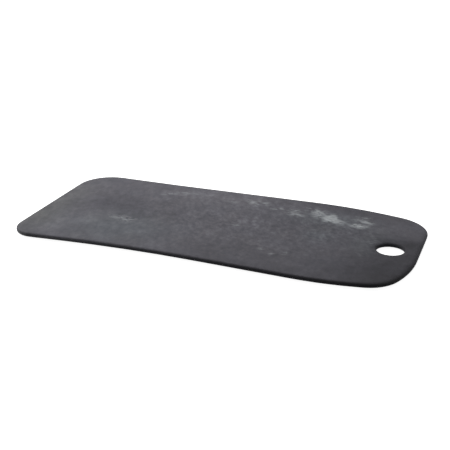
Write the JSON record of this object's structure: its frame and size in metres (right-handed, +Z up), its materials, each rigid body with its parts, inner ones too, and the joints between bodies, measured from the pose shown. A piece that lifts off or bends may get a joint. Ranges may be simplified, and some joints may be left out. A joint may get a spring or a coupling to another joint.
{
  "type": "slate serving board",
  "caption": "Thin honed slate serving board with a waisted, round-cornered outline, a finger hole near one end and stick-on rubber feet under it.",
  "frame": {"origin": "on the table, under the middle of the slab's outline: the bottom centre of the overall box", "axes": "+X from the plain end to the hole end, +Y from the front edge to the back edge, +Z up out of the serving face"},
  "size_m": [0.45, 0.2112, 0.0075],
  "materials": {
    "slate": "honed, matt, with pale chalky clouding",
    "foot_rubber": "matt black",
    "adhesive": "milky acrylic film"
  },
  "bodies": {
    "root": {"slate_slab": "slate", "front_left_foot": "foot_rubber", "front_right_foot": "foot_rubber", "back_left_foot": "foot_rubber", "back_right_foot": "foot_rubber", "front_left_adhesive": "adhesive", "front_right_adhesive": "adhesive", "back_left_adhesive": "adhesive", "back_right_adhesive": "adhesive"}
  },
  "joints": []
}
